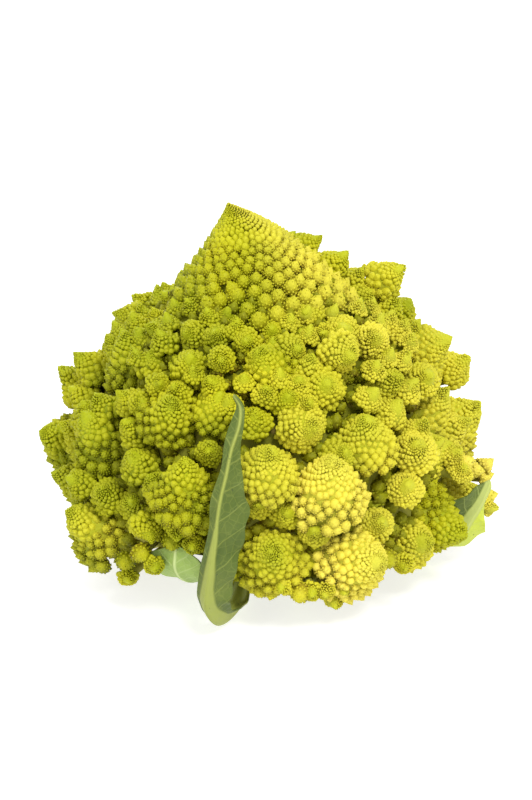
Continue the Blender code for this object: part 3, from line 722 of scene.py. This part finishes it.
curd_material, tree, shader, spot = material_tree("curd_green")
rise, grain, reach, pale = [
    tree.node("ShaderNodeAttribute", attribute_name=name, output="Fac")
    for name in ("rise", "grain", "reach", "site_pale")]
patches = noise(tree, spot, 45.0, 3.0)
grains = tree.node("ShaderNodeTexVoronoi", {"Vector": spot, "Scale": 1000.0}, feature="SMOOTH_F1")
specks = noise(tree, spot, 700.0, 2.0)
cell = (1.25 - grains * 1.1).within(0.0, 1.0)
# The height of a point on its bud, from rise, grain and the cells, sets the painted highlight and shade below
height = rise * (0.56 + grain * 0.32 + cell * 0.12)
to_right = tree.node("ShaderNodeSeparateXYZ", (spot,)) * 4.5
# Yellower on pale florets and to the right: partly their own yellow, partly painted light from the key lamp
ripeness_and_light = (patches * 2.4 - 0.95 + pale * 0.55 + to_right * 0.55).within(0.0, 1.0)
green = blend(tree, ripeness_and_light, colour(0.24, 0.27, 0.003), colour(0.49, 0.46, 0.005))
golden = (pale * 1.6 - 0.75 + patches * 0.5).within(0.0, 1.0)
ripe_and_lit = blend(tree, golden, green, colour(0.80, 0.68, 0.095))
tips = (1 - reach * 2.2).positive()
tipped = blend(tree, tips * 0.5, ripe_and_lit, colour(0.33, 0.40, 0.006))
# Painted highlight: the tops of the buds and the middles of their grains are lightened
bud_top_highlight = (height * 1.5 - 0.55 + specks * 0.2).within(0.0, 1.0)
lit = blend(tree, bud_top_highlight * 0.42, tipped, colour(0.68, 0.64, 0.028))
# Painted shade in the gaps between buds, darker on the left away from the key lamp, and on the undergrowth
shade = ((0.46 - height) * 2.6).within(0.0, 1.0)
# The painted shade is olive, and brown in patches and towards the right
browned = (patches * 3 + to_right * 0.6 - 1.2).within(0.0, 1.0)
crevice_shade = blend(tree, browned, colour(0.09, 0.085, 0.001), colour(0.21, 0.115, 0.008))
deep = (0 - pale).positive() * 0.34
shaded = (shade * (0.76 - to_right * 0.35) + deep).maths("MINIMUM", 0.95)
final = blend(tree, shaded, lit, crevice_shade)
bump = bumped(tree, 0.8, 0.0004, cell)
connect(shader, Base_Color=final, Roughness=0.55, Normal=bump, Specular_IOR_Level=0.14)

# The florets are shared out among pieces by their bearing round the head. Those nearer the front than
# FRONT_END, in metres from the axis, have the finer buds
PIECES = 7
FRONT_END = 0.015
ordered = sorted(
    (k for k, site in enumerate(floret_sites) if site[2] > LARGEST_BUD),
    key=lambda k: math.atan2(floret_sites[k][0].y, floret_sites[k][0].x))
area = sum(floret_sites[k][2] ** 2 for k in ordered)
piece_of = {}
so_far = 0.0
for k in ordered:
    piece_of[k] = min(int(so_far / area * PIECES), PIECES - 1)
    so_far += floret_sites[k][2] ** 2
rng = np.random.default_rng(7)
site_object = mesh_object("curd_sites", [site[0] for site in floret_sites], [])
columns = {
    "site_width": [site[2] for site in floret_sites],
    "site_spin": rng.uniform(0, 2 * math.pi, len(floret_sites)),
    "site_piece": [piece_of.get(k, PIECES + int(k >= crown_end)) for k in range(len(floret_sites))],
    "site_smallest": [0.0010 if site[0].y < FRONT_END else 0.0012 for site in floret_sites],
    "site_region": [
        UNDERGROWTH if k >= crown_end else CROWN if k >= len(large_sites)
        else FRONT if site[0].y < FRONT_END else BACK
        for k, site in enumerate(floret_sites)],
    "site_pale": [site[3] for site in floret_sites],
}
for name, values in columns.items():
    column = site_object.data.attributes.new(name, "FLOAT", "POINT")
    column.data.foreach_set("value", np.array(values, dtype=np.float32))
axes = np.array([tuple(site[1]) for site in floret_sites], dtype=np.float32)
site_object.data.attributes.new("site_axis", "FLOAT_VECTOR", "POINT").data.foreach_set("vector", axes.ravel())

# The crown's buds and the smallest florets make one more piece, and the undergrowth the last
for piece in range(PIECES + 2):
    carrier = bpy.data.objects.new(f"curd_{piece}", site_object.data)
    bpy.context.scene.collection.objects.link(carrier)
    modifier = carrier.modifiers.new("growth", "NODES")
    modifier.node_group = growth.graph
    chosen = {
        "Core": core_piece, "Piece": piece, "Bud share": 0.245, "Packing": 0.90,
        "Looseness": 0.13, "Seed": 11 + piece, "Material": curd_material}
    for item in growth.graph.interface.items_tree:
        if item.in_out == "INPUT" and item.name in chosen:
            modifier[item.identifier] = chosen[item.name]
    evaluated = carrier.evaluated_get(bpy.context.evaluated_depsgraph_get())
    mesh = bpy.data.meshes.new_from_object(evaluated)
    carrier.modifiers.clear()
    carrier.data = mesh
    for name in (
            "bud_width", "bud_axis", "site_axis", "site_width", "site_spin", "site_piece", "site_smallest",
            "site_region"):
        if name in mesh.attributes:
            mesh.attributes.remove(mesh.attributes[name])
    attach(carrier, "root")
    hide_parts("curd")
bpy.data.objects.remove(site_object)

# The stems carry the large florets out from the core: short ridged branches of the same flesh, seen from
# below and in the gaps at the sides. Each runs from inside its floret back into the heart of the head.

STEM_SIDES = 10
STEM_RINGS = 7
HIGHEST_STEM = 0.105
HEART_HEIGHT = 0.044
stem_points, stem_faces = [], []
for tip, axis, width, pale in floret_sites[:len(large_sites)]:
    if tip.z > HIGHEST_STEM:
        continue
    top = tip - axis * width * 0.55
    back = tip - axis * width
    root = back.lerp(dome_centre(back.z + (HEART_HEIGHT - back.z) * 0.45), 0.60)
    turn = (top - root).to_track_quat("Z", "Y").to_matrix()
    start = len(stem_points)
    for i in range(STEM_RINGS):
        t = i / (STEM_RINGS - 1)
        middle = top.lerp(back, min(t * 1.6, 1.0)).lerp(root, t * t)
        reach = width * (0.30 - 0.13 * smooth_step(0.0, 0.6, t) + 0.03 * t)
        for j in range(STEM_SIDES):
            angle = 2 * math.pi * j / STEM_SIDES
            ridge = 1 + 0.06 * math.cos(5 * angle)
            stem_points.append(middle + turn @ level_way(angle) * reach * ridge)
    stem_points += [top, root]
    last = len(stem_points) - 1 - start
    for face in ring_body(STEM_RINGS, STEM_SIDES, (last - 1, last)):
        stem_faces.append([start + k for k in face[::-1]])
stem_piece = mesh_object("curd_stems", stem_points, stem_faces)
stem_piece.data.materials.append(flesh_material)
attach(stem_piece, "root")
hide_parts("curd")

# The leaves grow from the stalk and wrap up round the head. Each is a thin waxy blade on a thick pale
# midrib, with a net of raised veins; the front one stands folded along its midrib, tip up.

LEAF_CROSSINGS = 25
RIB_WIDTH = 0.0030
EDGE_THICKNESS = 0.0008
ROWS_BETWEEN = 7
WAVE_LENGTH = 0.017
CRIMP_LENGTH = 0.0071
NOTCH_LENGTH = 0.0125
BROAD_FROM = 0.008

# Along the midrib from the stalk to the tip, in millimetres: the point, the half widths to the left
# and right, the thickness at the rib, and how far the edges fold in
LEAVES = {
    "leaf_front": (
        (-6, -25.5, 9, 4.5, 4.5, 5.6, 0.0), (-9, -44, 6.5, 4.0, 4.0, 5.4, 0.0),
        (-12, -66, 5.4, 4.0, 4.4, 5.2, 0.1), (-18, -80, 6.5, 4.0, 5.6, 5.0, 0.6),
        (-22, -88, 16, 4.2, 8.0, 4.4, 0.75), (-20.8, -90, 30, 4.0, 9.0, 3.6, 0.7),
        (-18.5, -89.5, 45, 2.9, 10.2, 2.8, 0.65), (-16.8, -87, 57, 3.6, 10.2, 2.2, 0.6),
        (-14.4, -83.5, 67, 2.4, 6.0, 1.9, 0.55), (-12.6, -80, 75, 2.8, 3.6, 1.6, 0.5),
        (-9.8, -76, 83, 3.2, 1.8, 1.4, 0.4), (-9.4, -72.5, 88.5, 2.0, 1.2, 1.1, 0.3),
        (-11.6, -70, 92, 0.8, 0.7, 0.9, 0.1),
    ),
    "leaf_right": (
        (25.5, -5, 9, 4.0, 4.0, 5.0, 0.0), (45, -10, 6.0, 4.0, 4.0, 4.8, 0.0),
        (62, -17, 7.5, 4.4, 4.4, 4.4, 0.1), (72, -23, 13, 6.0, 11.0, 4.0, 0.1),
        (77, -27, 20, 9.5, 13.0, 3.6, 0.1), (80.5, -28, 26.5, 11.5, 7.5, 3.2, 0.1),
        (84, -28.5, 33, 9.0, 3.0, 2.4, 0.1), (86.5, -28, 38.5, 4.0, 2.2, 1.6, 0.1),
        (87.5, -27.5, 41, 0.8, 0.8, 0.9, 0.1),
    ),
    "leaf_left": (
        (-14, -21.5, 12, 3.6, 3.6, 4.2, 0.0), (-21, -40, 10.5, 3.6, 3.6, 4.0, 0.0),
        (-28, -57, 13, 7.0, 7.0, 3.4, 0.0), (-32, -66, 18, 11.0, 11.0, 2.4, 0.0),
        (-34, -71, 24, 12.0, 12.0, 1.8, 0.0), (-34, -72, 29, 9.0, 9.0, 1.2, 0.1),
        (-33.5, -71, 33, 0.8, 0.8, 0.9, 0.1),
    ),
    "leaf_gap": (
        (6, -25, 12, 3.2, 3.2, 4.2, 0.0), (11, -46, 8.0, 3.2, 3.2, 4.0, 0.0),
        (14, -62, 9.5, 3.6, 3.6, 3.4, 0.1), (15, -71, 15, 6.0, 6.0, 2.6, 0.3),
        (15, -72, 24, 7.0, 7.0, 1.8, 0.4), (14, -70, 33, 4.0, 4.0, 1.2, 0.3),
        (14, -69, 38, 0.8, 0.8, 0.9, 0.1),
    ),
}


def smooth_rows(rows):
    """Rows between the given ones too, on a smooth curve through them."""
    rows = np.array(rows, dtype=float)
    finer = []
    for k in range(len(rows) - 1):
        p0, p1, p2, p3 = rows[max(k - 1, 0)], rows[k], rows[k + 1], rows[min(k + 2, len(rows) - 1)]
        for step in range(ROWS_BETWEEN):
            t = step / ROWS_BETWEEN
            bend = (2 * p0 - 5 * p1 + 4 * p2 - p3) * t ** 2 + (3 * p1 - p0 - 3 * p2 + p3) * t ** 3
            finer.append(0.5 * (2 * p1 + (p2 - p0) * t + bend))
    return finer + [rows[-1]]


def leaf(name, rows, wave_height, facing):
    """A closed sheet with a thick rib; its UV map holds metres across from the midrib and along it.

    The blade turns its back to the stalk, or to the side given as facing."""
    rows = smooth_rows(rows)
    spine = [Vector(row[:3]) * MM for row in rows]
    points, across_along = [], []
    length = 0.0
    crossings = [math.sin(math.pi / 2 * (2 * k / (LEAF_CROSSINGS - 1) - 1)) for k in range(LEAF_CROSSINGS)]
    for i, (here, row) in enumerate(zip(spine, rows)):
        left, right, rib, fold = row[3] * MM, row[4] * MM, row[5] * MM, row[6]
        along = (spine[min(i + 1, len(spine) - 1)] - spine[max(i - 1, 0)]).normalized()
        length += (here - spine[max(i - 1, 0)]).length
        turned = smooth_step(0.1, 0.45, i / len(rows)) if facing else 0.0
        radial = Vector((here.x, here.y, 0.0)).normalized()
        outward = radial.lerp(Vector(facing or radial), turned) - Vector((0.0, 0.0, 0.6))
        side = along.cross(outward).normalized()
        outward = side.cross(along)
        outer, inner = [], []
        for u in crossings:
            half = right if u > 0 else left
            broad = min(half / BROAD_FROM, 1.0)
            height = wave_height * u * u * broad ** 2
            turns = 2 * math.pi * length
            crimp = 0.25 * math.sin(turns / CRIMP_LENGTH + 5 * u)
            ripple = math.sin(turns / WAVE_LENGTH + 2 * u) + crimp
            notch = 1 + 0.045 * math.sin(turns / NOTCH_LENGTH + 3 * math.copysign(1, u)) * broad
            middle = here + side * u * half * notch - outward * (fold * abs(u) * half - height * ripple)
            thick = EDGE_THICKNESS + (rib - EDGE_THICKNESS) * max(0.0, 1 - (u * half / RIB_WIDTH) ** 2)
            outer.append(middle + outward * 0.5 * thick)
            inner.append(middle - outward * 0.5 * thick)
            across_along.append((u * half, length))
        points += outer + inner[::-1]
        across_along += across_along[-LEAF_CROSSINGS:][::-1]
    points += [spine[0], spine[-1] + along * EDGE_THICKNESS]
    across_along += [(0.0, 0.0), (0.0, length)]
    ends = (len(points) - 2, len(points) - 1)
    made = mesh_object(name + "_blade", points, ring_body(len(rows), 2 * LEAF_CROSSINGS, ends))
    layer = made.data.uv_layers.new(name="UVMap")
    corners = np.array([loop.vertex_index for loop in made.data.loops])
    layer.data.foreach_set("uv", np.array(across_along, dtype=np.float32)[corners].ravel())
    return made


def leaf_material(name, dark, light, vein, vein_gap, stem_length, lit_right_half=None):
    """A waxy blade: a pale midrib, side veins that lean to the tip, a net between them, and specks.

    The midrib is wider from the stalk up to stem_length. A colour for the right half, where given, is
    painted light, as of light shining through the blade."""
    made, tree, shader, spot = material_tree(name)
    flat = tree.node("ShaderNodeSeparateXYZ", (tree.node("ShaderNodeUVMap", uv_map="UVMap"),))
    across, along = flat.maths("ABSOLUTE"), flat.beside("Y")
    wander = noise(tree, spot, 90.0, 2.0)
    cells = tree.node("ShaderNodeTexVoronoi", {"Vector": spot, "Scale": 330.0}, feature="DISTANCE_TO_EDGE")
    broad = tree.node("ShaderNodeTexNoise", {"Vector": spot, "Scale": 60.0, "Detail": 5.0, "Roughness": 0.6})
    fine = noise(tree, spot, 900.0, 3.0)
    side = flat.maths("SIGN") * 0.31
    phase = (along - across * 0.9) / vein_gap + wander * 0.55 + side
    off_vein = (phase - phase.maths("FLOOR") - 0.5).maths("ABSOLUTE") * vein_gap
    width = (0.0007 - across * 0.035).maths("MAXIMUM", 0.00022)
    side_vein = (1 - off_vein / width).positive() * 0.6
    net = (1 - cells * 14).positive() * 0.2
    rib_half = 0.0006 + (1 - along / stem_length).positive() * 0.0070
    midrib = ((rib_half - across) / 0.0007 + 0.5).within(0.0, 1.0)
    veins = (side_vein * 0.8).maths("MAXIMUM", net).maths("MAXIMUM", midrib)
    blade = blend(tree, (broad * 2.4 - 0.7).within(0.0, 1.0), dark, light)
    if lit_right_half:
        blade = blend(tree, flat.maths("GREATER_THAN", 0.0), blade, lit_right_half)
    veined = blend(tree, veins * 0.85, blade, vein)
    dots = noise(tree, spot, 420.0, 1.0)
    speck = (dots * 9 - 6.3).within(0.0, 0.6)
    speckled = blend(tree, speck, veined, colour(0.03, 0.05, 0.02))
    bump = bumped(tree, 0.7, 0.0004, veins + fine * 0.25 - cells * 0.8)
    connect(shader, Base_Color=speckled, Roughness=0.45 + fine * 0.2, Normal=bump, Specular_IOR_Level=0.3)
    return made


dark_blade, light_blade = colour(0.060, 0.098, 0.012), colour(0.125, 0.165, 0.026)
leaf_green = leaf_material("leaf_green", dark_blade, light_blade, colour(0.33, 0.37, 0.07), 0.0105, 0.105)
# A lit copy of the leaf: brighter veins, and painted light on the right half, as of light shining through
leaf_lit = leaf_material(
    "leaf_lit", dark_blade, light_blade, colour(0.44, 0.50, 0.13), 0.0090, 0.105,
    lit_right_half=colour(0.52, 0.60, 0.05))
leaf_pale = leaf_material(
    "leaf_pale", colour(0.24, 0.36, 0.07), colour(0.34, 0.47, 0.11), colour(0.58, 0.68, 0.28), 0.0060, 0.045)
# Each leaf's material, the height of the waves at its edge, and the side that its back turns to
LEAF_FINISHES = {
    "leaf_front": (leaf_green, 0.0012, None), "leaf_right": (leaf_lit, 0.0012, (0.30, -0.95, 0.0)),
    "leaf_left": (leaf_pale, 0.0005, None), "leaf_gap": (leaf_green, 0.0012, None),
}
for name, (finish, wave_height, facing) in LEAF_FINISHES.items():
    blade = leaf(name, LEAVES[name], wave_height, facing)
    blade.data.materials.append(finish)
    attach(blade, "root")
    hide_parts(name)
    "leaf_pale" if finish == leaf_pale else "leaf_green"

# The stalk is the cut stump that the head and leaves grow from: pale and fluted, with a moist cut end
# ringed by a darker rind, and a skin with fine lengthwise fibres.

# Radius and height, in metres, from the middle of the cut end up to where the stalk enters the head
STALK_PROFILE = (
    (0.0, 0.0006), (0.006, 0.0003), (0.014, 0.0004), (0.0205, 0.0), (0.0228, 0.0001), (0.0243, 0.0007),
    (0.0250, 0.0019), (0.0246, 0.0042), (0.0240, 0.0072), (0.0235, 0.011), (0.0237, 0.0145),
    (0.0243, 0.018), (0.0252, 0.022), (0.0270, 0.0267))
STALK_SIDES = 96
CUT_RADIUS = 0.0228
RIND_RADIUS = 0.0195
RIND_WIDTH = 0.0018
stalk_points = []
for radius, z in STALK_PROFILE[1:]:
    for j in range(STALK_SIDES):
        angle = 2 * math.pi * j / STALK_SIDES
        ridge = 0.035 * math.cos(6 * angle) + 0.008 * math.cos(17 * angle + 1) + 0.005 * math.cos(31 * angle)
        reach = radius * (1 + ridge * min(radius / CUT_RADIUS, 1.0) ** 4)
        stalk_points.append((reach * math.cos(angle), reach * math.sin(angle), z))
stalk_points += [(0.0, 0.0, STALK_PROFILE[0][1]), (0.0, 0.0, STALK_PROFILE[-1][1])]
ends = (len(stalk_points) - 2, len(stalk_points) - 1)
stump = mesh_object("stalk_stump", stalk_points, ring_body(len(STALK_PROFILE) - 1, STALK_SIDES, ends))
stump_material, tree, shader, spot = material_tree("stalk")
at = tree.node("ShaderNodeSeparateXYZ", (spot,))
from_middle = (at * at + at.beside("Y") * at.beside("Y")).maths("SQRT")
fibre_spot = tree.node("ShaderNodeVectorMath", (spot, (1.0, 1.0, 0.08)), operation="MULTIPLY")
fibres = noise(tree, fibre_spot, 700.0, 4.0)
blotch = noise(tree, spot, 110.0, 4.0)
skin = blend(tree, blotch, colour(0.50, 0.60, 0.27), colour(0.66, 0.70, 0.42))
streaked = blend(tree, (fibres * 1.6 - 0.7).positive() * 0.6, skin, colour(0.34, 0.42, 0.16))
pith = blend(tree, blotch, colour(0.72, 0.74, 0.52), colour(0.80, 0.78, 0.58))
rind = (1 - ((from_middle - RIND_RADIUS) / RIND_WIDTH).maths("ABSOLUTE")).positive()
cut = blend(tree, rind * 0.6, pith, colour(0.45, 0.55, 0.25))
dried = noise(tree, spot, 260.0, 3.0) * 3 - 1.8
cut = blend(tree, dried.positive(), cut, colour(0.50, 0.38, 0.20))
on_cut = (1 - (at.beside("Z") - 0.0006) / 0.0006).within(0.0, 1.0)
bump = bumped(tree, 0.5, 0.0004, fibres + blotch * 0.5)
connect(shader, Base_Color=blend(tree, on_cut, streaked, cut), Roughness=0.42 + blotch * 0.2, Normal=bump)
stump.data.materials.append(stump_material)
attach(stump, "root")
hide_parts("stalk")

# The head stands on a plain white table, lit by soft lamps as for a catalogue, and is seen from a little
# above. The lens takes in 0.32 m of height at the head's middle.

TABLE_HALF = 30.0
corners = [(x * TABLE_HALF, y * TABLE_HALF, 0.0) for x, y in ((-1, -1), (1, -1), (1, 1), (-1, 1))]
floor = mesh_object("floor", corners, [(0, 1, 2, 3)])
floor_material, tree, shader, spot = material_tree("white_table")
cloud = tree.node("ShaderNodeTexNoise", {"Vector": spot, "Scale": 3.0})
whites = blend(tree, cloud, colour(0.48, 0.48, 0.48), colour(0.52, 0.52, 0.52))
connect(
    shader, Base_Color=whites, Roughness=0.6, Emission_Color=colour(1.0, 1.0, 1.0), Emission_Strength=0.72)
floor.data.materials.append(floor_material)

world = bpy.data.worlds.new("studio")
world.use_nodes = True
world.node_tree.nodes["Background"].inputs["Color"].default_value = (1.0, 1.0, 1.0, 1.0)
world.node_tree.nodes["Background"].inputs["Strength"].default_value = 0.66
bpy.context.scene.world = world
LAMPS = (
    ("key_lamp", (0.40, -0.80, 1.25), 0.5, 18.0), ("fill_lamp", (-1.1, -0.9, 0.6), 1.0, 4.5),
    ("back_lamp", (-0.4, 1.1, 1.0), 0.8, 12.0),
)


def aimed(name, data, place):
    """Stands a lamp or the camera here, aimed at the middle of the view."""
    holder = bpy.data.objects.new(name, data)
    holder.location = place
    holder.rotation_euler = (VIEW_MIDDLE - Vector(place)).to_track_quat("-Z", "Y").to_euler()
    bpy.context.scene.collection.objects.link(holder)
    return holder


for name, place, size, power in LAMPS:
    lamp = bpy.data.lights.new(name, "AREA")
    lamp.size = size
    lamp.energy = power
    aimed(name, lamp, place)
camera = bpy.data.cameras.new("camera")
camera.lens = 101.25
camera.sensor_width = 36.0
eye = VIEW_MIDDLE + Vector((0.0, -math.cos(VIEW_ELEVATION), math.sin(VIEW_ELEVATION))) * VIEW_DISTANCE
bpy.context.scene.camera = aimed("camera", camera, eye)
bpy.context.scene.view_settings.view_transform = "Standard"
